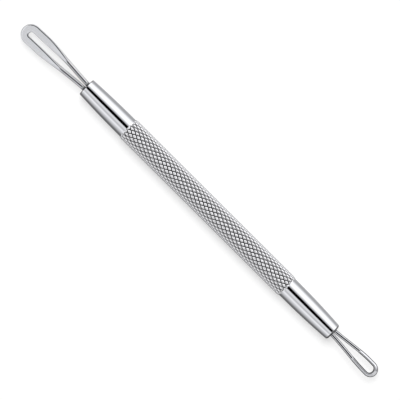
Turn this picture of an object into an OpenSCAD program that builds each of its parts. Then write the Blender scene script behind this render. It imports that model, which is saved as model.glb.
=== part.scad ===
// Double-ended blackhead extractor: a knurled steel handle with a large and a small wire loop.
// The handle lies along X, the large loop points to -X and both loops lie flat in the XY plane.

/* [Handle] */
// Length of the handle between its two end faces
handle_l = 98.5; // [70:0.5:130]
// Diameter over the crests of the knurl
knurl_d = 7; // [6.9:0.05:8]
// Radial depth of the knurl from crest to groove
knurl_depth = 0.35; // [0.15:0.05:0.5]
// Pitch of the knurl along the handle
knurl_pitch = 2.05; // [1.5:0.05:3]
// Number of grooves that run each way round the knurl
knurl_starts = 18; // [12:2:24]
// Diameter of the plain bands beside the knurl
land_d = 6.42; // [6.36:0.02:6.8]
// Length of the true cylinder beside the knurl at the large-loop end
large_land_l = 1; // [0.5:0.5:6]
// Length of the true cylinder beside the knurl at the small-loop end
small_land_l = 2; // [1:0.5:6]
// Length of the plain end that holds the large loop
large_plain_l = 16.6; // [13:0.1:24]
// Length of the plain end that holds the small loop
small_plain_l = 18.4; // [13:0.1:24]
// Diameter of the end face at the large loop
large_face_d = 5.55; // [5:0.05:6.2]
// Diameter of the end face at the small loop, before its rim is rounded
small_face_d = 5.2; // [5:0.05:6.2]
// Bevel on the rim at the large loop
large_rim = 0.15; // [0.05:0.05:0.4]
// Rounding of the rim at the small loop
small_rim = 0.6; // [0.2:0.05:0.9]

/* [Large loop] */
// Reach of the large loop beyond the handle
large_reach = 24.5; // [21:0.5:34]
// Diameter of the wire of the large loop
large_wire_d = 1.3; // [1:0.05:1.4]
// Gap between the two legs of the large loop where they leave the handle
large_leg_gap = 0.18; // [0.05:0.01:0.2]
// Width of the large loop between its wire centres at the widest place
large_spread = 3.76; // [3.2:0.02:4.4]
// Distance from the handle to that widest place
large_spread_at = 17.5; // [14:0.5:18]
// Width of the pressed band along the arms of the large loop
large_arm_w = 2.3; // [1.6:0.02:2.4]
// Width of the pressed band at the tip of the large loop
large_tip_w = 2.3; // [1.6:0.02:2.4]
// Distance from the handle to where the wire starts to flatten
large_press_from = 7.2; // [5:0.1:10]
// Distance over which the wire goes from round to flat
large_press_l = 10.2; // [6:0.1:10.5]
// Turn of the large loop to one side, in its own plane
large_lean = 1.4; // [0:0.05:3]
// Sideways bow of the large loop's middle line between the handle and the tip
large_bow = 0.1; // [0:0.02:0.4]
// Roll of the large loop about the handle
large_roll = 10; // [0:1:12]
// Depth of the bore for the legs of the large loop
large_bore_depth = 10; // [7:0.5:11]
// Diameter of the bore for the legs of the large loop
large_bore_d = 2.9; // [2.85:0.05:3.4]

/* [Small loop] */
// Reach of the small loop beyond the handle
small_reach = 17; // [16:0.5:26]
// Diameter of the wire of the small loop
small_wire_d = 1.08; // [0.9:0.02:1.12]
// Gap between the two legs of the small loop where they leave the handle
small_leg_gap = 0.2; // [0.05:0.01:0.26]
// Width of the small loop between its wire centres at the widest place
small_spread = 3.4; // [3.1:0.02:4.2]
// Distance from the handle to that widest place
small_spread_at = 13.4; // [10:0.2:14]
// Width of the pressed wire along the arms of the small loop
small_arm_w = 1.16; // [1.14:0.01:1.4]
// Width of the pressed band at the tip of the small loop
small_tip_w = 1.5; // [1.2:0.02:1.7]
// Distance from the handle to where the wire is pressed
small_press_from = 8.6; // [6:0.1:9.5]
// Distance over which the wire goes from round to pressed
small_press_l = 0.7; // [0.4:0.1:2]
// Outward tilt of the pressed faces of the small loop, like the wall of a shallow cone
small_dish = 21; // [0:1:25]
// Distance of the small loop's middle line from the handle's axis, at the handle and at the tip
small_shift = 0; // [0:0.01:0.2]
// Sideways bow of the small loop's middle line between the handle and the tip
small_bow = 0.14; // [0:0.02:0.4]
// Depth of the bore for the legs of the small loop
small_bore_depth = 9; // [7:0.5:11]
// Diameter of the bore for the legs of the small loop
small_bore_d = 2.9; // [2.85:0.05:3.3]

/* [Joints] */
// Space left in each bore beyond the ends of the legs
leg_end_gap = 0.5; // [0.2:0.1:1]
// Depth of the solder below each end face
solder_recess = 0.15; // [0.05:0.05:0.4]
// Length of each leg's end that sticks out of the solder, inside the bore
solder_short = 1.5; // [0.5:0.1:3]

/* [Hidden] */
// The two ends of the handle and the two tips, with the whole tool centred on X
total_l = large_reach + handle_l + small_reach;
large_face_x = -total_l / 2 + large_reach;
small_face_x = total_l / 2 - small_reach;
knurl_l = handle_l - large_plain_l - small_plain_l;
knurl_x = large_face_x + large_plain_l;
land_r = land_d / 2;
crest_r = knurl_d / 2;
groove_r = crest_r - knurl_depth;
// Depth that the knurl's end corners lie under the plain bands
knurl_play = 0.02;
// Metal between the knurl's grooves and the turned core
core_cover = 0.2;
// Whole diamonds along the knurl, and the columns and rows of its corner points
diamonds = max(2, round(knurl_l / knurl_pitch));
cols = 2 * knurl_starts;
rows = 2 * diamonds;
// Half of a twist drill's point angle
drill_half_angle = 59;
// Slope at which each leg of a loop leaves the handle
leg_slope = 0.055;
// Steps along a curved taper, a rounded rim, an arm and the round tip of a loop
taper_steps = 16;
rim_steps = 6;
arm_steps = 14;
tip_steps = 18;
// Corners of the wire's section
wire_sides = 16;
round_fn = 64;

// Half the distance between the two legs where they are round
function leg_half(wire_d, leg_gap) = (wire_d + leg_gap) / 2;

// Points of a plain end from the knurl to the face: a land, a curved taper and a rim.
// They are [radius, distance from the face], with the rim left to its own function.
function taper_points(plain_l, land_l, face_r, rim) =
    let (taper_l = plain_l - land_l,
         drop = land_r - face_r,
         arc_r = (taper_l * taper_l + drop * drop) / (2 * drop))
    concat([[land_r, plain_l]],
           [for (i = [0 : taper_steps])
               let (run = (taper_l - rim) * i / taper_steps)
               [land_r - arc_r + sqrt(arc_r * arc_r - run * run), taper_l - run]]);

// Points of a quarter-round rim whose outer corner would be at the radius corner_r on the face
function round_rim(corner_r, rim) =
    [for (i = [1 : rim_steps])
        let (turn = 90 * i / rim_steps)
        [corner_r - rim + rim * cos(turn), rim - rim * sin(turn)]];

// Profile of the turned bar, from the small loop's face back to the large loop's face
module handle_profile() {
    core_r = groove_r - core_cover;
    small_side = taper_points(small_plain_l, small_land_l, small_face_d / 2, small_rim);
    small_rim_r = small_side[len(small_side) - 1][0];
    large_side = taper_points(large_plain_l, large_land_l, large_face_d / 2, large_rim);
    large_rim_r = large_side[len(large_side) - 1][0];
    small_points = concat(small_side, round_rim(small_rim_r, small_rim), [[0, 0]]);
    large_points = concat(large_side, [[large_rim_r - large_rim, 0], [0, 0]]);
    n = len(large_points) - 1;
    polygon(concat([[core_r, knurl_x]],
                   [[core_r, knurl_x + knurl_l]],
                   [for (p = small_points) [p[0], small_face_x - p[1]]],
                   [for (i = [n : -1 : 0]) [large_points[i][0], large_face_x + large_points[i][1]]]));
}

// Radius of the knurl's corner point in a row and a column
function knurl_r(row, col) =
    row == 0 || row == rows ? land_r - knurl_play : (row + col) % 2 == 0 ? crest_r : groove_r;

function knurl_index(row, col) = row * cols + (col + cols) % cols;

// The knurled surface: one four-sided point for each diamond between crossing grooves
module knurl() {
    points = [for (row = [0 : rows], col = [0 : cols - 1])
        let (turn = 360 * col / cols, r = knurl_r(row, col))
        [knurl_x + knurl_l * row / rows, r * cos(turn), r * sin(turn)]];
    toward_large = [for (row = [1 : rows], col = [0 : cols - 1]) if ((row + col) % 2 == 0)
        for (side = [-1, 1])
            side < 0 ? [knurl_index(row, col), knurl_index(row, col - 1), knurl_index(row - 1, col)]
                     : [knurl_index(row, col), knurl_index(row - 1, col), knurl_index(row, col + 1)]];
    toward_small = [for (row = [0 : rows - 1], col = [0 : cols - 1]) if ((row + col) % 2 == 0)
        for (side = [-1, 1])
            side < 0 ? [knurl_index(row, col), knurl_index(row + 1, col), knurl_index(row, col - 1)]
                     : [knurl_index(row, col), knurl_index(row, col + 1), knurl_index(row + 1, col)]];
    large_cap = [for (col = [0 : cols - 1]) knurl_index(0, col)];
    small_cap = [for (col = [cols - 1 : -1 : 0]) knurl_index(rows, col)];
    polyhedron(points, concat([large_cap, small_cap], toward_large, toward_small), convexity = 4);
}

// A drilled blind hole whose mouth is at the origin and which runs to +X
module blind_bore(bore_d, depth) {
    rotate([0, 90, 0]) {
        translate([0, 0, -1])
            cylinder(h = depth + 1, d = bore_d, $fn = round_fn);
        translate([0, 0, depth])
            cylinder(h = bore_d / 2 / tan(drill_half_angle), d1 = bore_d, d2 = 0, $fn = round_fn);
    }
}

module handle() {
    color("silver")
    difference() {
        union() {
            rotate([0, 90, 0])
                rotate_extrude($fn = round_fn)
                    handle_profile();
            knurl();
        }
        translate([large_face_x, 0, 0])
            blind_bore(large_bore_d, large_bore_depth);
        translate([small_face_x, 0, 0])
            mirror([1, 0, 0])
                blind_bore(small_bore_d, small_bore_depth);
    }
}

// Smooth step from 0 to 1
function ease(t) = let (c = min(1, max(0, t))) c * c * (3 - 2 * c);

// Half the distance between the arms' centre lines, at a distance u from the handle's face.
// The arms leave the handle at leg_slope and open out to half_spread in one soft curve.
function arm_half(u, half_leg, half_spread, spread_at) =
    let (t = min(1, max(0, u / spread_at)))
    half_leg + (half_spread - half_leg) * ease(t) + leg_slope * spread_at * t * (1 - t) * (1 - t);

// Thickness of a round wire that is pressed to a given width and keeps its section's area
function pressed_t(width, wire_d) =
    let (lost = 1 - PI / 4, area = PI * wire_d * wire_d / 4)
    (width - sqrt(width * width - 4 * lost * area)) / (2 * lost);

// Stations of a loop from the end of one leg to the end of the other: [distance from the face,
// sideways offset, width of the wire there, how far it is pressed from 0 to 1]
function loop_stations(reach, leg_l, half_leg, half_spread, spread_at, tip_w, arm_w, wire_d,
                       press_from, press_l) =
    let (bend_x = reach - tip_w / 2 - half_spread,
         open_at = min(spread_at, bend_x),
         arm = concat([[-leg_l, half_leg, wire_d, 0], [-leg_l / 2, half_leg, wire_d, 0]],
                      [for (i = [0 : arm_steps])
                          let (u = open_at * i / arm_steps,
                               pressed = ease((u - press_from) / press_l))
                          [u, arm_half(u, half_leg, half_spread, open_at),
                           wire_d + (arm_w - wire_d) * pressed, pressed]],
                      bend_x - open_at > 1 ? [[(open_at + bend_x) / 2, half_spread, arm_w, 1]] : []),
         tip = [for (i = [0 : tip_steps])
                   let (turn = 180 * i / tip_steps)
                   [bend_x + half_spread * sin(turn), half_spread * cos(turn),
                    arm_w + (tip_w - arm_w) * sin(turn) * sin(turn), 1]],
         last = len(arm) - 1,
         first_arm = bend_x - open_at > 0.01 ? arm : [for (i = [0 : last - 1]) arm[i]],
         m = len(first_arm) - 1)
    concat(first_arm, tip,
           [for (i = [m : -1 : 0])
               [first_arm[i][0], -first_arm[i][1], first_arm[i][2], first_arm[i][3]]]);

// Sideways offset of a loop's middle line at a distance from the handle's face
function side_step(along, reach, lean, shift, bow) =
    let (t = max(0, along / reach))
    shift + max(0, along) * tan(lean) + 4 * bow * t * (1 - t);

// A pressed wire swept along its stations, with flat ends. Where it is pressed its faces tilt
// outwards by the angle dish.
module swept_wire(stations, wire_d, reach, lean, shift, bow, dish) {
    last = len(stations) - 1;
    path = [for (s = stations) [s[0], s[1] + side_step(s[0], reach, lean, shift, bow)]];
    points = [for (i = [0 : last])
        let (ahead = path[min(last, i + 1)] - path[max(0, i - 1)],
             along = ahead / norm(ahead),
             across = [-along[1], along[0]],
             width = stations[i][2],
             thick = pressed_t(width, wire_d),
             tilt = dish * stations[i][3])
        for (k = [0 : wire_sides - 1])
            let (turn = 360 * (k + 0.5) / wire_sides,
                 side = cos(turn) > 0 ? 1 : -1,
                 flat_out = side * (width - thick) / 2 + thick / 2 * cos(turn),
                 flat_up = thick / 2 * sin(turn),
                 out = flat_out * cos(tilt) + flat_up * sin(tilt),
                 up = flat_up * cos(tilt) - flat_out * sin(tilt))
            [path[i][0] + across[0] * out, path[i][1] + across[1] * out, up]];
    walls = [for (i = [0 : last - 1], k = [0 : wire_sides - 1])
        let (a = i * wire_sides + k,
             b = i * wire_sides + (k + 1) % wire_sides)
        for (half = [0, 1])
            half == 0 ? [a, b, b + wire_sides] : [a, b + wire_sides, a + wire_sides]];
    start_cap = [for (k = [wire_sides - 1 : -1 : 0]) k];
    end_cap = [for (k = [0 : wire_sides - 1]) last * wire_sides + k];
    polyhedron(points, concat([start_cap, end_cap], walls), convexity = 6);
}

module large_loop() {
    color("gainsboro")
    translate([large_face_x, 0, 0])
        rotate([large_roll, 0, 0])
            mirror([1, 0, 0])
                swept_wire(loop_stations(large_reach, large_bore_depth - leg_end_gap,
                                         leg_half(large_wire_d, large_leg_gap), large_spread / 2,
                                         large_spread_at, large_tip_w, large_arm_w, large_wire_d,
                                         large_press_from, large_press_l),
                           large_wire_d, large_reach, -large_lean, 0, large_bow, 0);
}

module small_loop() {
    color("lightgray")
    translate([small_face_x, 0, 0])
        swept_wire(loop_stations(small_reach, small_bore_depth - leg_end_gap,
                                 leg_half(small_wire_d, small_leg_gap), small_spread / 2,
                                 small_spread_at, small_tip_w, small_arm_w, small_wire_d,
                                 small_press_from, small_press_l),
                   small_wire_d, small_reach, 0, small_shift, small_bow, small_dish);
}

// Solder round two legs, from a little inside the mouth of the bore and on to +X
module solder_fill(bore_d, depth, wire_d, half_leg, shift, roll) {
    fill_l = depth - leg_end_gap - solder_short - solder_recess;
    translate([solder_recess, 0, 0])
        rotate([0, 90, 0])
            difference() {
                cylinder(h = fill_l, d = bore_d, $fn = round_fn);
                for (side = [-1, 1])
                    rotate([0, 0, roll])
                        translate([0, side * half_leg + shift, -1])
                            cylinder(h = fill_l + 2, d = wire_d, $fn = round_fn);
            }
}

module large_loop_solder() {
    color("darkgray")
    translate([large_face_x, 0, 0])
        solder_fill(large_bore_d, large_bore_depth, large_wire_d,
                    leg_half(large_wire_d, large_leg_gap), 0, large_roll);
}

module small_loop_solder() {
    color("darkgray")
    translate([small_face_x, 0, 0])
        mirror([1, 0, 0])
            solder_fill(small_bore_d, small_bore_depth, small_wire_d,
                        leg_half(small_wire_d, small_leg_gap), small_shift, 0);
}

handle();
large_loop();
small_loop();
large_loop_solder();
small_loop_solder();
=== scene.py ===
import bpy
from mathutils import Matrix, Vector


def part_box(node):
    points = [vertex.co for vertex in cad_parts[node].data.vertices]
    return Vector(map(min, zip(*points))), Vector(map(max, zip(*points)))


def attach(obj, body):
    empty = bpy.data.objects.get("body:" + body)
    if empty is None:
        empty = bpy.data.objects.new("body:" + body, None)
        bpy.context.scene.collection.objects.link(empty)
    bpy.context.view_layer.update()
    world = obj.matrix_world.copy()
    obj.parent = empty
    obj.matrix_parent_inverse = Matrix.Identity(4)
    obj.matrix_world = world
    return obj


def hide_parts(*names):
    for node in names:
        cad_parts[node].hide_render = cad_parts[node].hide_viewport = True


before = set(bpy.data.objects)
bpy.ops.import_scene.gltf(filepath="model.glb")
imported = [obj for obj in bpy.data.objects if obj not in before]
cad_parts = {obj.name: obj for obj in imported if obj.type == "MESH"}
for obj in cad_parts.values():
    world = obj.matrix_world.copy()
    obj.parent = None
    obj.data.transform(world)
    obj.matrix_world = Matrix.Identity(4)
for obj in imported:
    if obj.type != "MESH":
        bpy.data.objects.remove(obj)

"""A knurled steel blackhead extractor with a wire loop at each end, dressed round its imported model.

The handle lies along X, the large loop points to -X, and the tool lies on a pale floor under soft
light. Sizes in the classes are millimetres, as a maker would write them; meshes are in metres.
"""

import logging
import math
from dataclasses import dataclass, field
from enum import Enum
from functools import partial
from typing import Any, Iterable

import bmesh
import bpy
from bmesh.types import BMesh, BMVert
from bpy.types import ID, ColorRamp, Material, Mesh, Node, NodeSocket, NodeTree, Object
from mathutils import Matrix, Vector

MM = 0.001
# Value of a piece's mask at which its metal is fully satin; from there to 1 it darkens with painted
# shade
SATIN_MARK = 0.2
# Edges of the wires and the solder that turn more than this, in degrees, are drawn sharp
SHARP_FROM = 60.0
WHITE = (1.0, 1.0, 1.0, 1.0)
LOG = logging.getLogger("extractor")


class Slot(Enum):
    """The record's material slots."""

    HANDLE = "handle_steel"
    WIRE = "loop_wire"
    SOLDER = "silver_solder"


class Toward(Enum):
    """The two ways along the handle."""

    LARGE_LOOP = -1
    SMALL_LOOP = 1


def linear(colour: str) -> tuple[float, float, float, float]:
    """Turns an sRGB hex colour into a linear one.

    Args:
        colour: Six hex digits after a hash sign.

    Returns:
        Linear red, green and blue, and an alpha of one.
    """
    parts = [int(colour[i:i + 2], 16) / 255 for i in (1, 3, 5)]
    values = [c / 12.92 if c <= 0.04045 else ((c + 0.055) / 1.055) ** 2.4 for c in parts]
    return values[0], values[1], values[2], 1.0


def add_node(tree: NodeTree, kind: str, settings: dict[str, Any] | None = None,
             inputs: dict[int | str, Any] | None = None) -> Node:
    """Adds one node with its settings, and sets or links its inputs.

    Args:
        tree: The node tree that gets the node.
        kind: The node's type name.
        settings: Properties of the node itself.
        inputs: A value or an output socket for each input, by name or by place.

    Returns:
        The new node.
    """
    node = tree.nodes.new(kind)
    for name, value in (settings or {}).items():
        setattr(node, name, value)
    for key, value in (inputs or {}).items():
        if isinstance(value, NodeSocket):
            tree.links.new(value, node.inputs[key])
        else:
            node.inputs[key].default_value = value
    return node


def add_maths(tree: NodeTree, operation: str, *values: Any) -> NodeSocket:
    """Adds one sum on sockets and numbers.

    Args:
        tree: The node tree that gets the node.
        operation: What is done with the values.
        values: Sockets and numbers.

    Returns:
        The result.
    """
    return add_node(tree, "ShaderNodeMath", {"operation": operation},
                    dict(enumerate(values))).outputs[0]


def add_mix(tree: NodeTree, share: NodeSocket | float, first: Any, second: Any,
            blend: str = "MIX") -> NodeSocket:
    """Adds a mix of two colours, which are the mix node's inputs 6 and 7 and its output 2.

    Args:
        tree: The node tree that gets the node.
        share: Share of the second colour, from 0 to 1.
        first: The first colour.
        second: The second colour.
        blend: How they are put together.

    Returns:
        The mixed colour.
    """
    return add_node(tree, "ShaderNodeMix", {"data_type": "RGBA", "blend_type": blend},
                    {"Factor": share, 6: first, 7: second}).outputs[2]


def ease(t: float) -> float:
    """Smooth step from 0 to 1."""
    c = min(1.0, max(0.0, t))
    return c * c * (3 - 2 * c)


def new_object(name: str, data: ID) -> Object:
    """Links a mesh, lamp or camera to the scene as an object at the origin.

    Args:
        name: The object's name.
        data: What the object holds.

    Returns:
        The object.
    """
    obj = bpy.data.objects.new(name, data)
    bpy.context.scene.collection.objects.link(obj)
    return obj


def metal_object(name: str, body: BMesh, metal: Material,
                 sharp_from: float = SHARP_FROM) -> Object:
    """Turns a finished body into a smooth object of one metal.

    Args:
        name: Name of the piece.
        body: The closed body, in metres.
        metal: The piece's material.
        sharp_from: Edges that turn more than this, in degrees, are drawn sharp.

    Returns:
        The piece.
    """
    bmesh.ops.recalc_face_normals(body, faces=body.faces)
    mesh = bpy.data.meshes.new(name)
    body.to_mesh(mesh)
    body.free()
    mesh.shade_smooth()
    mesh.set_sharp_from_angle(angle=math.radians(sharp_from))
    mesh.materials.append(metal)
    return new_object(name, mesh)


def bridge(body: BMesh, first: list[BMVert], second: list[BMVert]) -> None:
    """Joins two closed rings of as many points with four-sided faces.

    Args:
        body: The mesh that holds the rings.
        first: One ring, in order.
        second: The other ring, in the same order.
    """
    count = len(first)
    for i in range(count):
        j = (i + 1) % count
        body.faces.new((first[i], first[j], second[j], second[i]))


class Lines(Enum):
    """Which way a metal's fine working lines run."""

    ROUND_THE_BAR = "round"
    ALONG_THE_WIRE = "along"


@dataclass(frozen=True)
class MetalFinish:
    """A bright metal, polished where its mask is 0, satin at the satin mark and darkened with painted
    shade towards 1.

    Real polishing and drawing lines are a few hundredths of a millimetre apart, too fine for the
    picture, so they are drawn coarser here and just deep enough to blur what the metal mirrors.
    """

    name: str
    # The clean metal, and the same where its polish is a little worn
    colour: str = "#e2e3e5"
    dull_colour: str = "#d9dadd"
    roughness: float = 0.04
    # At the satin mark and beyond it; a satin colour lighter than the metal is a painted highlight
    satin_roughness: float = 0.3
    satin_highlight_colour: str = "#e2e3e5"
    # Painted shade, full where the mask is 1
    painted_shade_colour: str = "#bcbcbd"
    # Faint patches in the polish: size, noise levels between which they lie, and what they do
    mottling_mm: float = 3.0
    mottle_low: float = 0.3
    mottle_high: float = 0.7
    roughness_down: float = 0.85
    roughness_up: float = 1.2
    # Lines round the bar: distance and run. Lines along a wire: run and number. Depth of both
    line_mm: float = 0.12
    line_run_mm: float = 16.67
    wire_line_mm: float = 4.0
    wire_lines: float = 26.0
    line_depth_mm: float = 0.0012

    def material(self, lines_run: Lines, mask: str) -> Material:
        """Builds the node material.

        Args:
            lines_run: Which way the fine lines run.
            mask: The mesh attribute that says how deep a groove or how dull a place is, and how much
                painted shade it gets.

        Returns:
            The material.
        """
        mat = bpy.data.materials.new(self.name)
        mat.use_nodes = True
        tree = mat.node_tree
        tree.nodes.clear()
        coords = add_node(tree, "ShaderNodeTexCoord")
        if lines_run is Lines.ROUND_THE_BAR:
            onward = 1 / (self.line_run_mm * MM)
            space, scale = "Object", (1 / (self.line_mm * MM), onward, onward)
        else:
            space, scale = "UV", (1 / (self.wire_line_mm * MM), self.wire_lines, 1.0)
        lines_at = add_node(tree, "ShaderNodeMapping", None,
                            {"Vector": coords.outputs[space], "Scale": scale})
        lines = add_node(tree, "ShaderNodeTexNoise", {"noise_dimensions": "3D"},
                         {"Vector": lines_at.outputs[0], "Scale": 1.0, "Detail": 2.0})
        mottle = add_node(tree, "ShaderNodeTexNoise", {"noise_dimensions": "3D"},
                          {"Vector": coords.outputs["Object"], "Scale": 1 / (self.mottling_mm * MM),
                           "Detail": 3.0})
        masked = add_node(tree, "ShaderNodeAttribute", {"attribute_name": mask})
        tone = add_mix(tree, mottle.outputs["Fac"], linear(self.colour), linear(self.dull_colour))
        gloss = add_node(tree, "ShaderNodeMapRange", None,
                         {"Value": mottle.outputs["Fac"],
                          "From Min": self.mottle_low, "From Max": self.mottle_high,
                          "To Min": self.roughness * self.roughness_down,
                          "To Max": self.roughness * self.roughness_up})
        satin = add_node(tree, "ShaderNodeMapRange", None,
                         {"Value": masked.outputs["Fac"], "From Max": SATIN_MARK})
        rough = add_node(tree, "ShaderNodeMix", {"data_type": "FLOAT"},
                         {"Factor": satin.outputs[0], 2: gloss.outputs[0],
                          3: self.satin_roughness})
        # From the satin mark to 1 the metal darkens towards the painted shade colour
        deep = add_node(tree, "ShaderNodeMapRange", None,
                        {"Value": masked.outputs["Fac"], "From Min": SATIN_MARK})
        # Where the satin colour is lighter than the metal, as on the knurl's crests, it is a painted
        # highlight
        brushed = add_mix(tree, satin.outputs[0], tone, linear(self.satin_highlight_colour))
        shade = add_mix(tree, deep.outputs[0], brushed, linear(self.painted_shade_colour))
        bump = add_node(tree, "ShaderNodeBump", None,
                        {"Height": lines.outputs["Fac"], "Distance": self.line_depth_mm * MM,
                         "Strength": 1.0})
        body = add_node(tree, "ShaderNodeBsdfPrincipled", None,
                        {"Base Color": shade, "Metallic": 1.0,
                         "Roughness": rough.outputs[0], "Normal": bump.outputs[0]})
        out = add_node(tree, "ShaderNodeOutputMaterial", None, {"Surface": body.outputs[0]})
        out.is_active_output = True
        return mat


@dataclass
class PlainEnd:
    """One plain end of the handle, from the knurl to the bore in its face."""

    toward: Toward
    # From the knurl to the end face, and to where the taper starts
    length: float
    land_l: float
    # Diameter at the face, as if the taper ran on to it, and radius of the rounding round it
    face_d: float
    rim: float
    bore_d: float
    bore_depth: float
    # Chamfer at the bore's mouth
    bore_edge: float = 0.06
    # How dark the painted shade on the rim's turned edge is, from 0 to 1
    rim_shade: float = 0.75
    taper_steps: int = 18
    rim_steps: int = 8

    def profile(self, land_r: float, start: float) -> list[tuple[float, float]]:
        """Works out the turned outline.

        Args:
            land_r: Radius of the plain band beside the knurl.
            start: Distance from the knurl at which the outline starts.

        Returns:
            Pairs of distance from the knurl and radius, ending at the drilled bore's floor.
        """
        taper_l = self.length - self.land_l
        drop = land_r - self.face_d / 2
        arc_r = (taper_l ** 2 + drop ** 2) / (2 * drop)
        points = []
        for i in range(self.taper_steps + 1):
            along = start + (self.length - self.rim - start) * i / self.taper_steps
            run = max(0.0, along - self.land_l)
            points.append((along, land_r - arc_r + math.sqrt(arc_r ** 2 - run ** 2)))
        edge_r = points[-1][1]
        for i in range(1, self.rim_steps + 1):
            turn = math.pi / 2 * i / self.rim_steps
            points.append((self.length - self.rim + self.rim * math.sin(turn),
                           edge_r - self.rim + self.rim * math.cos(turn)))
        bore_r = self.bore_d / 2
        mouth_r = bore_r + self.bore_edge
        face_r = points[-1][1]
        points.append((self.length, (face_r + mouth_r) / 2))
        points.append((self.length, mouth_r))
        points.append((self.length - self.bore_edge, bore_r))
        points.append((self.length - self.bore_depth / 2, bore_r))
        points.append((self.length - self.bore_depth, bore_r))
        return points


@dataclass
class Handle:
    """The knurled bar with its two plain ends, one closed mesh."""

    land_d: float = 6.42
    knurl_d: float = 7.0
    knurl_depth: float = 0.35
    # Length of a diamond, before whole diamonds are fitted in, and grooves of each hand
    knurl_pitch: float = 2.05
    knurl_starts: int = 18
    # Half width of a groove, in spacings of the grooves, and how softly two of them meet
    groove_share: float = 0.26
    groove_blend: float = 0.1
    # How much a diamond falls from its middle to its edge
    pillow: float = 0.12
    # Length over which the knurl runs out, and its turn round the bar in spacings of the diamonds
    run_out: float = 0.3
    phase: float = 0.2
    # Faces along a diamond's side, how far they crowd towards it, and what counts as one point
    cell_steps: int = 8
    crowd: float = 0.3
    weld: float = 0.004
    # Distance that tells the rim's own rings from those beside it
    tiny: float = 0.001
    drill_half_angle: float = 59.0
    # Edges that turn more than this, in degrees, are drawn sharp
    sharp_from: float = 28.0
    large_end: PlainEnd = field(default_factory=lambda: PlainEnd(
        Toward.LARGE_LOOP, length=16.6, land_l=1.0, face_d=5.55, rim=0.28, bore_d=2.9,
        bore_depth=10.0, rim_shade=1.0, rim_steps=4))
    small_end: PlainEnd = field(default_factory=lambda: PlainEnd(
        Toward.SMALL_LOOP, length=18.4, land_l=2.0, face_d=5.2, rim=0.6, bore_d=2.9,
        bore_depth=9.0))
    # Stainless steel, turned, knurled and buffed: the plain ends mirror like chrome, the crests
    # are a little softer and lighter with a painted highlight, and the grooves look dark with painted
    # shade
    finish: MetalFinish = MetalFinish("turned_polished_stainless_steel", roughness=0.03,
                                      satin_roughness=0.13, satin_highlight_colour="#fafafb",
                                      painted_shade_colour="#404042")

    def __post_init__(self) -> None:
        """Reads the handle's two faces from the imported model."""
        low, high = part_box("handle")
        self.large_face_x = low.x / MM
        self.small_face_x = high.x / MM
        self.knurl_x = self.large_face_x + self.large_end.length
        self.knurl_l = self.small_face_x - self.small_end.length - self.knurl_x
        self.diamonds = round(self.knurl_l / self.knurl_pitch)
        self.pitch = self.knurl_l / self.diamonds

    def knurl_tree(self) -> NodeTree:
        """Builds the geometry nodes that lay diamonds round the bar.

        Each diamond is a square grid between four grooves. It is laid out on the flat, wrapped
        round the bar, cut by two families of crossing grooves and welded to its neighbours.

        Returns:
            The node tree, with its sizes as named inputs.
        """
        tree = bpy.data.node_groups.new("diamond_knurl", "GeometryNodeTree")
        tree.is_modifier = True
        for name in ("Length", "Pitch", "Crest Radius", "Land Radius", "Depth", "Groove Share",
                     "Pillow", "Run Out", "Start", "Phase"):
            tree.interface.new_socket(name, in_out="INPUT", socket_type="NodeSocketFloat")
        for name in ("Starts", "Rows", "Cell Steps"):
            tree.interface.new_socket(name, in_out="INPUT", socket_type="NodeSocketInt")
        tree.interface.new_socket("Steel", in_out="INPUT", socket_type="NodeSocketMaterial")
        tree.interface.new_socket("Geometry", in_out="OUTPUT", socket_type="NodeSocketGeometry")
        given = add_node(tree, "NodeGroupInput").outputs
        maths = partial(add_maths, tree)

        # One diamond on the flat: x along the bar in metres, y in groove spacings round it
        side_points = maths("ADD", given["Cell Steps"], 1.0)
        half_pitch = maths("MULTIPLY", given["Pitch"], 0.5)
        grid = add_node(tree, "GeometryNodeMeshGrid", None,
                        {"Size X": 1.0, "Size Y": 1.0,
                         "Vertices X": side_points, "Vertices Y": side_points})
        position = add_node(tree, "GeometryNodeInputPosition")
        at = add_node(tree, "ShaderNodeSeparateXYZ", None, {0: position.outputs[0]}).outputs
        spaced = [maths("MULTIPLY_ADD", maths("SINE", maths("MULTIPLY", at[i], math.tau)),
                        self.crowd / math.tau, at[i]) for i in (0, 1)]
        flat = add_node(tree, "ShaderNodeCombineXYZ", None,
                        {0: maths("MULTIPLY", maths("ADD", *spaced), half_pitch),
                         1: maths("MULTIPLY", maths("SUBTRACT", *spaced), 0.5)})
        diamond = add_node(tree, "GeometryNodeSetPosition", None,
                           {"Geometry": grid.outputs["Mesh"], "Position": flat.outputs[0]})

        # Rows of diamonds half a pitch apart, every other row shifted by half a spacing
        index = add_node(tree, "GeometryNodeInputIndex").outputs[0]
        row = maths("FLOOR", maths("DIVIDE", index, given["Starts"]))
        place = maths("MODULO", index, given["Starts"])
        shift = maths("MULTIPLY", maths("SUBTRACT", 1.0, maths("MODULO", row, 2.0)), 0.5)
        spot = add_node(tree, "ShaderNodeCombineXYZ", None,
                        {0: maths("MULTIPLY", row, half_pitch),
                         1: maths("ADD", place, shift)})
        spots = add_node(tree, "GeometryNodePoints", None,
                         {"Count": maths("MULTIPLY", given["Rows"], given["Starts"]),
                          "Position": spot.outputs[0]})
        laid = add_node(tree, "GeometryNodeInstanceOnPoints", None,
                        {"Points": spots.outputs[0], "Instance": diamond.outputs[0]})
        sheet = add_node(tree, "GeometryNodeRealizeInstances", None, {"Geometry": laid.outputs[0]})

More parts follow.
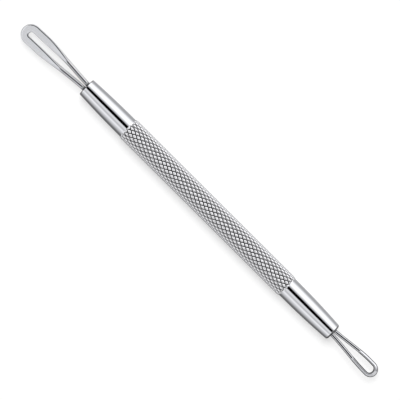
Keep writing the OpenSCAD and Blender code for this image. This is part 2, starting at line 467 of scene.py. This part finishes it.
        # Depth of the two crossing grooves at each point of the flat sheet
        along = maths("DIVIDE", at[0], given["Pitch"])
        cuts = []
        for sign in ("ADD", "SUBTRACT"):
            away = maths("PINGPONG", maths(sign, along, at[1]), 0.5)
            cut = add_node(tree, "ShaderNodeMapRange", None,
                           {"Value": away, "From Max": given["Groove Share"],
                            "To Min": 1.0, "To Max": 0.0}).outputs[0]
            cuts.append((away, cut))
        groove = maths("SMOOTH_MAX", cuts[0][1], cuts[1][1], self.groove_blend)
        middle = maths("MINIMUM", cuts[0][0], cuts[1][0])
        crown = maths("MULTIPLY", maths("SUBTRACT", 0.5, middle),
                      maths("MULTIPLY", given["Pillow"], 2.0))
        knurled = maths("SUBTRACT", maths("SUBTRACT", given["Crest Radius"], crown),
                        maths("MULTIPLY", groove, given["Depth"]))
        inside = maths("MINIMUM", at[0], maths("SUBTRACT", given["Length"], at[0]))
        fade = add_node(tree, "ShaderNodeMapRange", {"interpolation_type": "SMOOTHSTEP"},
                        {"Value": inside, "From Max": given["Run Out"]}).outputs[0]
        radius = maths("MULTIPLY_ADD", fade, maths("SUBTRACT", knurled, given["Land Radius"]),
                       given["Land Radius"])
        turn = maths("DIVIDE", maths("MULTIPLY", maths("ADD", at[1], given["Phase"]), math.tau),
                     given["Starts"])
        wrapped = add_node(tree, "ShaderNodeCombineXYZ", None,
                           {0: maths("ADD", at[0], given["Start"]),
                            1: maths("MULTIPLY", radius, maths("COSINE", turn)),
                            2: maths("MULTIPLY", radius, maths("MULTIPLY", maths("SINE", turn), -1.0))})
        # The mask: the satin mark on the crests, rising to 1 in the grooves, which the material darkens
        # as painted shade
        marked = add_node(tree, "GeometryNodeStoreNamedAttribute",
                          {"data_type": "FLOAT", "domain": "POINT"},
                          {"Geometry": sheet.outputs[0], "Name": "groove",
                           "Value": maths("MULTIPLY", fade,
                                          maths("MULTIPLY_ADD", groove, 1 - SATIN_MARK,
                                                SATIN_MARK))})
        tube = add_node(tree, "GeometryNodeSetPosition", None,
                        {"Geometry": marked.outputs[0], "Position": wrapped.outputs[0]})
        welded = add_node(tree, "GeometryNodeMergeByDistance", None,
                          {"Geometry": tube.outputs[0], "Distance": self.weld * MM})
        dressed = add_node(tree, "GeometryNodeSetMaterial", None,
                           {"Geometry": welded.outputs[0], "Material": given["Steel"]})
        add_node(tree, "NodeGroupOutput", None, {0: dressed.outputs[0]})
        return tree

    def knurl_mesh(self, steel: Material) -> Mesh:
        """Evaluates the knurl's geometry nodes.

        Args:
            steel: The handle's material.

        Returns:
            The knurled tube, open at both ends along a zigzag of half diamonds.
        """
        tree = self.knurl_tree()
        values = {"Length": self.knurl_l * MM, "Pitch": self.pitch * MM,
                  "Crest Radius": self.knurl_d / 2 * MM, "Land Radius": self.land_d / 2 * MM,
                  "Depth": (self.knurl_depth - self.pillow) * MM,
                  "Groove Share": self.groove_share,
                  "Pillow": self.pillow * MM, "Run Out": self.run_out * MM,
                  "Start": self.knurl_x * MM, "Phase": self.phase, "Starts": self.knurl_starts,
                  "Rows": 2 * self.diamonds + 1, "Cell Steps": self.cell_steps, "Steel": steel}
        carrier = new_object("knurl_carrier", bpy.data.meshes.new("knurl_carrier"))
        modifier = carrier.modifiers.new("knurl", "NODES")
        modifier.node_group = tree
        for item in tree.interface.items_tree:
            if item.in_out == "INPUT":
                modifier[item.identifier] = values[item.name]
        graph = bpy.context.evaluated_depsgraph_get()
        mesh = bpy.data.meshes.new_from_object(carrier.evaluated_get(graph), depsgraph=graph)
        bpy.data.objects.remove(carrier)
        return mesh

    def close_end(self, body: BMesh, end: PlainEnd) -> None:
        """Sews a plain end on to the knurl's zigzag edge and closes it at the bore's point.

        Args:
            body: The mesh that holds the knurl.
            end: The plain end to add.
        """
        sign = end.toward.value
        knurl_end = self.knurl_x if sign < 0 else self.knurl_x + self.knurl_l
        middle = (self.knurl_x + self.knurl_l / 2) * MM
        edges = [e for e in body.edges
                 if e.is_boundary and (e.verts[0].co.x - middle) * sign > 0]
        rim = sorted({v for e in edges for v in e.verts}, key=lambda v: math.atan2(v.co.z, v.co.y))
        turns = [math.atan2(v.co.z, v.co.y) for v in rim]
        previous = rim
        groove = body.verts.layers.float["groove"]
        for distance, radius in end.profile(self.land_d / 2, self.pitch / 2 + self.run_out):
            x = (knurl_end + sign * distance) * MM
            ring = [body.verts.new((x, radius * MM * math.cos(t), radius * MM * math.sin(t)))
                    for t in turns]
            # The rim's rings take the rim shade as their mask, which the material paints as shade
            if end.length - end.rim + self.tiny < distance < end.length - self.tiny:
                for vert in ring:
                    vert[groove] = end.rim_shade
            bridge(body, previous, ring)
            previous = ring
        point_l = end.bore_d / 2 / math.tan(math.radians(self.drill_half_angle))
        tip_x = knurl_end + sign * (end.length - end.bore_depth - point_l)
        tip = body.verts.new((tip_x * MM, 0, 0))
        for i, vert in enumerate(previous):
            body.faces.new((vert, previous[(i + 1) % len(previous)], tip))

    def build(self) -> Object:
        """Makes the handle as one closed mesh and dresses it.

        Returns:
            The handle.
        """
        steel = self.finish.material(Lines.ROUND_THE_BAR, "groove")
        knurl = self.knurl_mesh(steel)
        body = bmesh.new()
        body.from_mesh(knurl)
        bpy.data.meshes.remove(knurl)
        self.close_end(body, self.large_end)
        self.close_end(body, self.small_end)
        for face in body.faces:
            face.material_index = 0
        handle = metal_object("knurled_handle", body, steel, self.sharp_from)
        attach(handle, "root")
        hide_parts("handle")
        return handle


@dataclass
class WireLoop:
    """A round wire bent to a loop, pressed flat at its bow, with both legs in the handle."""

    name: str
    node: str
    toward: Toward
    # Place of the end face, the loop's length from there and its legs' length in the bore
    face_x: float
    reach: float
    leg_l: float
    wire_d: float
    leg_gap: float
    # Greatest distance between the arms' centre lines, and how far from the face they reach it
    spread: float
    spread_at: float
    # Widths of the pressed wire, where the pressing starts and the length that it takes
    arm_w: float
    tip_w: float
    press_from: float
    press_l: float
    # Degrees: sideways lean, turn about the handle's axis, and slope across the pressed wire
    lean: float = 0.0
    roll: float = 0.0
    dish: float = 0.0
    # Sideways offset of the loop, and bow of its middle line
    shift: float = 0.0
    bow: float = 0.0
    # How steeply the legs part at the face
    leg_slope: float = 0.055
    # Rounding between flat and edge: its radius on the pressed wire and on the legs, the power by
    # which one turns into the other, and its angle in degrees
    shoulder: float = 1.1
    leg_shoulder: float = 0.1
    shoulder_fade: int = 6
    shoulder_turn: float = 17.0
    # The legs' narrow flat: half its angle and its extra turn in degrees, and how far the wire
    # may be pressed before it follows the loop's roll
    flat_turn: float = 16.0
    facing: float = 0.6
    level_until: float = 0.13
    # From 0 to 1: darkness of the painted shade on the wire's sides, the share of it that the pressed
    # wire keeps, and how satin the pressed faces are
    side_shade_depth: float = 0.88
    side_shade_kept: float = 1.0
    satin: float = 1.0
    # Degrees from the top at which the painted side shade starts, on the legs and on the bow, and over
    # which it grows
    outer_side_shade: tuple[float, float] = (36.0, 36.0)
    inner_side_shade: tuple[float, float] = (30.0, 36.0)
    side_shade_over: float = 16.0
    # Length of the painted shade on the legs beside the joint, full at the face and fading outwards
    joint_shade_l: float = 0.9
    # Places of the section's points on the flat and on the rounding, in shares of each
    flat_shares: tuple[float, ...] = (0.15, 0.55, 0.92, 1.0)
    shoulder_shares: tuple[float, ...] = (0.33, 0.67, 1.0)
    # Distance between sections, sections round the tip, and points on a quarter of the edge
    step: float = 0.25
    tip_steps: int = 64
    edge_steps: int = 8

    def pressed_thickness(self, width: float) -> float:
        """Works out how thick the pressed wire is, as its section keeps its area.

        Args:
            width: Width that the wire is pressed to.

        Returns:
            The thickness of a band with round edges.
        """
        lost = 1 - math.pi / 4
        area = math.pi * self.wire_d ** 2 / 4
        return (width - math.sqrt(width ** 2 - 4 * lost * area)) / (2 * lost)

    def arm_half(self, along: float) -> float:
        """Works out how far the arms are apart.

        Args:
            along: Distance from the handle's face.

        Returns:
            Half the distance between the arms' centre lines.
        """
        half_leg = (self.wire_d + self.leg_gap) / 2
        t = min(1.0, max(0.0, along / self.spread_at))
        opened = (self.spread / 2 - half_leg) * ease(t)
        return half_leg + opened + self.leg_slope * self.spread_at * t * (1 - t) ** 2

    def stations(self) -> list[tuple[float, float, float, float]]:
        """Lists places along the wire.

        Returns:
            Distance from the face, offset sideways, width and how far the wire is pressed.
        """
        half = self.spread / 2
        bend_x = self.reach - self.tip_w / 2 - half
        arm = [(-self.leg_l, self.arm_half(0), self.wire_d, 0.0),
               (-self.leg_l / 2, self.arm_half(0), self.wire_d, 0.0)]
        steps = round(bend_x / self.step)
        for i in range(steps):
            along = bend_x * i / steps
            pressed = ease((along - self.press_from) / self.press_l)
            width = self.wire_d + (self.arm_w - self.wire_d) * pressed
            arm.append((along, self.arm_half(along), width, pressed))
        tip = []
        for i in range(self.tip_steps + 1):
            turn = math.pi * i / self.tip_steps
            width = self.arm_w + (self.tip_w - self.arm_w) * math.sin(turn) ** 2
            tip.append((bend_x + half * math.sin(turn), half * math.cos(turn), width, 1.0))
        back = [(x, -y, width, pressed) for x, y, width, pressed in reversed(arm)]
        return arm + tip + back

    def middle(self, along: float) -> float:
        """Works out where the loop's middle line runs.

        Args:
            along: Distance from the handle's face.

        Returns:
            The line's sideways offset there.
        """
        t = max(0.0, along) / self.reach
        lean = math.tan(math.radians(self.lean))
        return self.shift + t * (self.reach * lean + 4 * self.bow * (1 - t))

    def side_shade_at(self, angle: float, pressed: float) -> tuple[float, float]:
        """Works out how dark the painted shade is on both sides of the wire.

        Args:
            angle: Angle from the section's top, in radians.
            pressed: 0 on the round legs, 1 on the band.

        Returns:
            The outer and the inner side, from 0 where there is no painted shade to 1.
        """
        starts = [leg + (bow - leg) * pressed for leg, bow in (self.outer_side_shade, self.inner_side_shade)]
        outer, inner = (ease((math.degrees(angle) - at) / self.side_shade_over) for at in starts)
        return outer, inner

    def section(self, width: float, pressed: float) -> list[tuple[float, float, float, float]]:
        """Lists the points round the wire: a flat, a soft shoulder and a round edge, four times.

        Args:
            width: Width of the wire there.
            pressed: 0 where the wire is round with a narrow flat, 1 where it is a band.

        Returns:
            Outward offset, height, 1 on the flat faces, and the painted side shade's darkness from 0 to
            1.
        """
        turn = math.radians(self.flat_turn + (self.shoulder_turn - self.flat_turn) * pressed)
        lowered = (1 - pressed) * (1 - math.cos(math.radians(self.flat_turn)))
        half_high = self.pressed_thickness(width) / 2 * (1 - lowered)
        roundness = (1 - pressed) ** self.shoulder_fade
        shoulder = self.shoulder + (self.leg_shoulder - self.shoulder) * roundness
        edge = (half_high - shoulder * (1 - math.cos(turn))) / math.cos(turn)
        flat = width / 2 - shoulder * math.sin(turn) - edge * (1 - math.sin(turn))
        quarter = [(flat * share, half_high, 1.0, 0.0, 0.0) for share in self.flat_shares]
        for share in self.shoulder_shares:
            at = turn * share
            quarter.append((flat + shoulder * math.sin(at),
                            half_high - shoulder * (1 - math.cos(at)), 1.0 - share,
                            *self.side_shade_at(at, pressed)))
        edge_x = flat + (shoulder - edge) * math.sin(turn)
        for step in range(1, self.edge_steps + 1):
            at = turn + (math.pi / 2 - turn) * step / (self.edge_steps + 0.5)
            quarter.append((edge_x + edge * math.sin(at), edge * math.cos(at), 0.0,
                            *self.side_shade_at(at, pressed)))
        upper = [(-out, up, on, inner) for out, up, on, _, inner in reversed(quarter)]
        upper += [(out, up, on, outer) for out, up, on, outer, _ in quarter]
        return upper + [(out, -up, on, side) for out, up, on, side in reversed(upper)]

    def build(self, steel: Material) -> Object:
        """Sweeps the section along the wire and dresses it.

        Args:
            steel: The wire's material.

        Returns:
            The loop.
        """
        stations = self.stations()
        path = [Vector((x, y + self.middle(x))) for x, y, _, _ in stations]
        body = bmesh.new()
        dullness_and_shade = body.verts.layers.float.new("dullness_and_shade")
        rings = []
        lengths = [0.0]
        for i, (_, _, width, pressed) in enumerate(stations):
            ahead = path[min(len(path) - 1, i + 1)] - path[max(0, i - 1)]
            along = ahead.normalized()
            across = Vector((-along.y, along.x))
            unpressed = max(0.0, 1 - pressed / self.level_until)
            level = (self.roll + self.facing) * unpressed * across.y
            tilt = math.radians(self.dish * pressed + level)
            ring = []
            side_shade_here = self.side_shade_depth * (1 + (self.side_shade_kept - 1) * pressed)
            joint_shade = 1 - ease(stations[i][0] / self.joint_shade_l)
            for flat_out, flat_up, on_flat, side in self.section(width, pressed):
                out = flat_out * math.cos(tilt) + flat_up * math.sin(tilt)
                up = flat_up * math.cos(tilt) - flat_out * math.sin(tilt)
                vert = body.verts.new((path[i].x + across.x * out, path[i].y + across.y * out, up))
                # The mask: satin on the pressed faces, with painted shade on the wire's sides and
                # beside the joint
                brushed = SATIN_MARK * self.satin * on_flat * pressed
                vert[dullness_and_shade] = brushed + side * side_shade_here + joint_shade
                ring.append(vert)
            rings.append(ring)
            if i:
                lengths.append(lengths[-1] + (path[i] - path[i - 1]).length)
        self.lay_faces(body, rings, lengths)
        turned = Matrix.Rotation(math.radians(self.roll), 4, "X")
        outward = Matrix.Diagonal((self.toward.value, 1, 1, 1))
        place = Matrix.Translation((self.face_x, 0, 0))
        bmesh.ops.transform(body, matrix=Matrix.Scale(MM, 4) @ place @ turned @ outward,
                            verts=body.verts)
        loop = metal_object(self.name, body, steel)
        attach(loop, "root")
        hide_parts(self.node)
        return loop

    @staticmethod
    def lay_faces(body: BMesh, rings: list[list[BMVert]], lengths: list[float]) -> None:
        """Lays faces between the rings, with the wire's length and girth as their UV map.

        Args:
            body: The mesh that holds the rings.
            rings: The wire's sections in order.
            lengths: Distance of each section along the wire, in millimetres.
        """
        uv = body.loops.layers.uv.new("wire")
        count = len(rings[0])
        for i in range(len(rings) - 1):
            for k in range(count):
                j = (k + 1) % count
                face = body.faces.new((rings[i][k], rings[i][j], rings[i + 1][j], rings[i + 1][k]))
                corners = ((i, k), (i, k + 1), (i + 1, k + 1), (i + 1, k))
                for corner, (ring, point) in zip(face.loops, corners):
                    corner[uv].uv = (lengths[ring] * MM, point / count)
        body.faces.new(rings[0])
        body.faces.new(rings[-1])


@dataclass
class SolderFill:
    """Silver solder in the mouth of a bore, drawn up a little round both legs and the wall."""

    name: str
    node: str
    loop: WireLoop
    bore_d: float
    # How deep below the end face the solder lies where it climbs highest
    recess: float = 0.15
    # How far it climbs at the legs and the wall, and within what distance of them
    climb: float = 0.22
    climb_width: float = 0.35
    rings: int = 16
    spokes: int = 72

    def height(self, y: float, z: float) -> float:
        """Works out the solder's surface, as it set.

        Args:
            y: Place in the bore, sideways.
            z: Place in the bore, upward.

        Returns:
            How far the solder stands above its lowest level there.
        """
        half = (self.loop.wire_d + self.loop.leg_gap) / 2
        roll = math.radians(self.loop.roll)
        gaps = [self.bore_d / 2 - math.hypot(y, z)]
        for side in (-1, 1):
            offset = side * half + self.loop.shift
            leg_y, leg_z = offset * math.cos(roll), offset * math.sin(roll)
            gaps.append(math.hypot(y - leg_y, z - leg_z) - self.loop.wire_d / 2)
        nearest = max(0.0, min(gaps))
        return self.climb * math.exp(-nearest / self.climb_width)

    def build(self, solder: Material) -> Object:
        """Makes the plug of solder as a closed mesh and dresses it.

        Args:
            solder: The solder's material.

        Returns:
            The fill.
        """
        low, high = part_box(self.node)
        inner_x = (low.x if self.loop.toward is Toward.SMALL_LOOP else high.x) / MM
        sign = self.loop.toward.value
        mouth_x = self.loop.face_x - sign * (self.recess + self.climb)
        body = bmesh.new()
        centre = body.verts.new((mouth_x + sign * self.height(0, 0), 0, 0))
        floor = body.verts.new((inner_x, 0, 0))
        rings = []
        for i in range(1, self.rings + 1):
            radius = self.bore_d / 2 * i / self.rings
            ring = []
            for k in range(self.spokes):
                turn = math.tau * k / self.spokes
                y, z = radius * math.cos(turn), radius * math.sin(turn)
                ring.append(body.verts.new((mouth_x + sign * self.height(y, z), y, z)))
            rings.append(ring)
        last = [body.verts.new((inner_x, v.co.y, v.co.z)) for v in rings[-1]]
        for k in range(self.spokes):
            body.faces.new((centre, rings[0][k], rings[0][(k + 1) % self.spokes]))
            body.faces.new((floor, last[k], last[(k + 1) % self.spokes]))
        for first, second in zip(rings, rings[1:] + [last]):
            bridge(body, first, second)
        bmesh.ops.scale(body, vec=(MM, MM, MM), verts=body.verts)
        fill = metal_object(self.name, body, solder)
        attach(fill, "root")
        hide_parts(self.node)
        return fill


@dataclass
class Studio:
    """Pale floor, soft surroundings and the camera straight above the tool."""

    # Height of the floor and half its side, in metres
    floor_z: float
    floor_half: float = 3.0
    # Width that the picture shows, and the camera's focal length and sensor
    picture_mm: float = 113.12
    lens: float = 300.0
    sensor: float = 36.0
    # Turn of the camera in degrees, and the picture's centre from the tool's middle
    turn: float = 44.875
    centre_right: float = -0.11
    centre_up: float = 0.13
    # Light from all sides, and light of the lamps on a white face turned to them
    ambient: float = 0.25
    sun_share: float = 0.9
    # Degrees: height of the lamps over the floor, and the angle that they fill
    sun_elevation: float = 66.0
    sun_spread: float = 36.0
    # Share of the lamps' light that fills the thin wires' shadow, as light off their sides does
    past_wires: float = 0.35
    # Degrees round the tool: the dark slit's middle, and half its width without and with its edge
    slit_at: float = -2.2
    slit_core: float = 12.0
    slit_edge: float = 16.0
    # Light that the floor gives back, and what the camera sees of it in full shade
    floor_albedo: float = 0.42
    floor_glow: float = 0.585
    # Brightness of the panels in what the metal mirrors, and how much bluer than grey they are
    tent_strength: float = 1.9
    tint: float = 1.01
    # Degrees round the tool's axis, from straight down by +Y, overhead and -Y, with the light there
    round_panels: tuple[tuple[float, float], ...] = (
        (-180, 0.36), (-118, 0.34), (-107, 0.34), (-98, 0.44), (-90, 0.6), (-80, 0.82),
        (-68, 0.98), (-42, 1.0), (-33, 0.78), (-24, 0.45), (-17, 0.3), (-5, 0.5),
        (7, 0.6), (13, 0.62), (24, 0.66), (33, 0.58), (39, 0.46),
        (44, 0.46), (50, 0.6), (57, 0.74), (64, 0.78), (74, 0.62), (90, 0.46),
        (105, 0.27), (120, 0.13), (180, 0.12))
    # Direction along the tool, from the large loop's side to the small one's, with the share of light
    end_panels: tuple[tuple[float, float], ...] = (
        (-1.0, 0.38), (-0.75, 0.46), (-0.5, 1.0), (-0.2, 0.77), (0.2, 0.77), (0.33, 0.9),
        (0.5, 0.68), (0.7, 0.55), (0.82, 0.17), (1.0, 0.09))
    # The same along the slit that the camera looks through
    slit_panels: tuple[tuple[float, float], ...] = (
        (-1.0, 0.3), (-0.5, 0.5), (-0.3, 0.0), (0.35, 0.0), (0.5, 0.5), (0.7, 0.5), (0.82, 0.12),
        (1.0, 0.05))

    def picture_axes(self) -> tuple[Vector, Vector]:
        """Works out how the picture lies on the floor.

        Returns:
            The picture's right and its upward direction.
        """
        turn = math.radians(self.turn)
        right = Vector((math.cos(turn), math.sin(turn), 0))
        up = Vector((-math.sin(turn), math.cos(turn), 0))
        return right, up

    def camera(self) -> Object:
        """Sets a long lens over the tool, turned so that the tool lies across the picture.

        Returns:
            The camera.
        """
        data = bpy.data.cameras.new("camera")
        data.lens = self.lens
        data.sensor_width = self.sensor
        data.clip_start, data.clip_end = 0.01, 20.0
        camera = new_object("camera", data)
        distance = self.picture_mm * self.lens / self.sensor
        right, up = self.picture_axes()
        place = right * self.centre_right + up * self.centre_up + Vector((0, 0, distance))
        camera.location = place * MM
        camera.rotation_euler = (0, 0, math.radians(self.turn))
        bpy.context.scene.camera = camera
        return camera

    def floor(self) -> Object:
        """Lays the floor under the knurl's crests.

        Returns:
            The floor.
        """
        half, z = self.floor_half, self.floor_z
        mesh = bpy.data.meshes.new("floor")
        mesh.from_pydata([(-half, -half, z), (half, -half, z), (half, half, z), (-half, half, z)],
                         [], [(0, 1, 2, 3)])
        mesh.materials.append(self.floor_material())
        floor = new_object("floor", mesh)
        return floor

    def floor_material(self) -> Material:
        """White board: full white to the camera with a soft shadow, left out of what steel mirrors.

        Returns:
            The material.
        """
        mat = bpy.data.materials.new("white_board")
        mat.use_nodes = True
        tree = mat.node_tree
        tree.nodes.clear()
        path = add_node(tree, "ShaderNodeLightPath")
        lit = add_node(tree, "ShaderNodeBsdfDiffuse", None,
                       {"Color": (self.floor_albedo,) * 3 + (1.0,)})
        glow = add_node(tree, "ShaderNodeEmission", None,
                        {"Color": WHITE, "Strength": self.floor_glow})
        white = add_node(tree, "ShaderNodeAddShader", None, {0: lit.outputs[0], 1: glow.outputs[0]})
        tent = add_node(tree, "ShaderNodeBsdfTransparent")
        board = add_node(tree, "ShaderNodeMixShader", None,
                         {0: path.outputs["Is Glossy Ray"], 1: white.outputs[0],
                          2: tent.outputs[0]})
        add_node(tree, "ShaderNodeOutputMaterial", None, {"Surface": board.outputs[0]})
        return mat

    def surroundings(self) -> None:
        """Soft panels on both sides of the tool, with a dark slit overhead for the camera."""
        world = bpy.data.worlds.new("light_tent")
        bpy.context.scene.world = world
        world.use_nodes = True
        world.cycles.sampling_method = "NONE"
        tree = world.node_tree
        tree.nodes.clear()
        path = add_node(tree, "ShaderNodeLightPath")
        coords = add_node(tree, "ShaderNodeTexCoord")
        axes = add_node(tree, "ShaderNodeSeparateXYZ", None, {0: coords.outputs["Generated"]})
        aside = add_maths(tree, "MULTIPLY", axes.outputs[1], -1.0)
        angle = add_maths(tree, "ARCTAN2", aside, axes.outputs[2])
        place = add_node(tree, "ShaderNodeMapRange", None,
                         {"Value": angle, "From Min": -math.pi, "From Max": math.pi})
        ramp = add_node(tree, "ShaderNodeValToRGB", None, {0: place.outputs[0]})
        self.fill_ramp(ramp.color_ramp, self.round_panels, 360.0)
        onward = add_node(tree, "ShaderNodeMapRange", None,
                          {"Value": axes.outputs[0], "From Min": -1.0, "From Max": 1.0})
        ends = add_node(tree, "ShaderNodeValToRGB", None, {0: onward.outputs[0]})
        self.fill_ramp(ends.color_ramp, self.end_panels, 2.0)
        tent = add_mix(tree, 1.0, ramp.outputs[0], ends.outputs[0], "MULTIPLY")
        turned = add_maths(tree, "SUBTRACT", angle, math.radians(self.slit_at))
        from_slit = add_maths(tree, "ABSOLUTE", turned)
        beside = add_node(tree, "ShaderNodeMapRange", {"interpolation_type": "SMOOTHSTEP"},
                          {"Value": from_slit, "From Min": math.radians(self.slit_core),
                           "From Max": math.radians(self.slit_edge)})
        slit = add_node(tree, "ShaderNodeValToRGB", None, {0: onward.outputs[0]})
        self.fill_ramp(slit.color_ramp, self.slit_panels, 2.0)
        lit_part = add_mix(tree, beside.outputs[0], slit.outputs[0], tent)
        mirrored = add_node(tree, "ShaderNodeBackground", None,
                            {"Color": lit_part, "Strength": self.tent_strength})
        soft = add_node(tree, "ShaderNodeBackground", None,
                        {"Color": WHITE, "Strength": self.ambient})
        white = add_node(tree, "ShaderNodeBackground", None, {"Color": WHITE, "Strength": 1.0})
        lit = add_node(tree, "ShaderNodeMixShader", None,
                       {0: path.outputs["Is Glossy Ray"], 1: soft.outputs[0], 2: mirrored.outputs[0]})
        seen = add_node(tree, "ShaderNodeMixShader", None,
                        {0: path.outputs["Is Camera Ray"], 1: lit.outputs[0], 2: white.outputs[0]})
        add_node(tree, "ShaderNodeOutputWorld", None, {"Surface": seen.outputs[0]})

    def fill_ramp(self, ramp: ColorRamp, levels: tuple[tuple[float, float], ...],
                  span: float) -> None:
        """Sets grey stops on a ramp.

        Args:
            ramp: The ramp to fill.
            levels: Pairs of a place, from minus half the span to half the span, and a level.
            span: What the ramp's length stands for.
        """
        while len(ramp.elements) > 1:
            ramp.elements.remove(ramp.elements[-1])
        for i, (place, level) in enumerate(levels):
            at = place / span + 0.5
            stop = ramp.elements[0] if i == 0 else ramp.elements.new(at)
            stop.position = at
            stop.color = (level, level, level * self.tint, 1.0)

    def lamp(self, name: str, share: float) -> Object:
        """Hangs one broad lamp beyond the picture's upper edge, for the floor's soft shadow.

        Args:
            name: The lamp's name.
            share: How white it shows a white face that is turned to it, up to 1.

        Returns:
            The lamp.
        """
        data = bpy.data.lights.new(name, "SUN")
        data.energy = math.pi * share
        data.angle = math.radians(self.sun_spread)
        lamp = new_object(name, data)
        rise = math.radians(self.sun_elevation)
        _, up = self.picture_axes()
        source = up * math.cos(rise) + Vector((0, 0, math.sin(rise)))
        lamp.rotation_euler = source.to_track_quat("Z", "Y").to_euler()
        lamp.visible_glossy = False
        return lamp

    def hang_lamps(self, wires: Iterable[Object]) -> None:
        """Hangs two lamps in one place, of which the fainter shines past the thin wires.

        Args:
            wires: The pieces that it shines past.
        """
        self.lamp("broad_lamp", self.sun_share * (1 - self.past_wires))
        fainter = self.lamp("filling_lamp", self.sun_share * self.past_wires)
        passed = bpy.data.collections.new("wires_shone_past")
        for wire in wires:
            passed.objects.link(wire)
        for entry in passed.collection_objects:
            entry.light_linking.link_state = "EXCLUDE"
        fainter.light_linking.blocker_collection = passed

    def build(self) -> None:
        """Sets up the camera, the floor and the surroundings."""
        self.camera()
        self.floor()
        self.surroundings()
        bpy.context.scene.view_settings.view_transform = "Standard"


def report(pieces: Iterable[Object]) -> None:
    """Logs each piece with its count of faces."""
    for piece in pieces:
        LOG.info("%s: %d faces", piece.name, len(piece.data.polygons))


def main() -> None:
    """Builds the studio and the tool."""
    logging.basicConfig(level=logging.INFO, format="%(name)s: %(message)s")
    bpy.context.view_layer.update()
    studio = Studio(floor_z=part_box("handle")[0].z)
    studio.build()
    handle = Handle()
    # Stainless steel wire, drawn and then pressed: polished on top and satin on the pressed band,
    # with dark grey painted shade on its sides and beside the joints
    wire = MetalFinish("drawn_stainless_wire", roughness=0.05, satin_roughness=0.28,
                       painted_shade_colour="#3c3c3e")
    wire_steel = wire.material(Lines.ALONG_THE_WIRE, "dullness_and_shade")
    # Silver solder as it flowed and set: a pale, slightly yellow metal with a soft sheen
    flowed = MetalFinish("flowed_silver_solder", colour="#b9b6ab", dull_colour="#98958b",
                         roughness=0.32, line_depth_mm=0.0)
    solder = flowed.material(Lines.ROUND_THE_BAR, "dullness_and_shade")
    large = WireLoop("large_wire_loop", "large_loop", Toward.LARGE_LOOP, handle.large_face_x,
                     reach=24.49, leg_l=9.5, wire_d=1.3, leg_gap=0.18, spread=3.76, spread_at=17.5,
                     arm_w=2.3, tip_w=2.3, press_from=7.2, press_l=10.2, lean=-1.4, roll=10.0,
                     bow=0.1, side_shade_kept=0.5, flat_turn=18.0, joint_shade_l=1.1)
    small = WireLoop("small_wire_loop", "small_loop", Toward.SMALL_LOOP, handle.small_face_x,
                     reach=16.99, leg_l=8.5, wire_d=1.08, leg_gap=0.2, spread=3.4, spread_at=13.4,
                     arm_w=1.16, tip_w=1.5, press_from=8.6, press_l=0.7, dish=21.0,
                     bow=0.14, shoulder=0.25, satin=0.3, flat_turn=21.5, side_shade_depth=0.94,
                     outer_side_shade=(30.0, -4.0), inner_side_shade=(32.0, 32.0), joint_shade_l=0.4)
    grip = handle.build()
    wires = [large.build(wire_steel), small.build(wire_steel)]
    studio.hang_lamps(wires)
    pieces = [grip, *wires,
              SolderFill("large_loop_braze", "large_loop_solder", large,
                         handle.large_end.bore_d).build(solder),
              SolderFill("small_loop_braze", "small_loop_solder", small,
                         handle.small_end.bore_d).build(solder)]
    report(pieces)


if __name__ == "__main__":
    main()
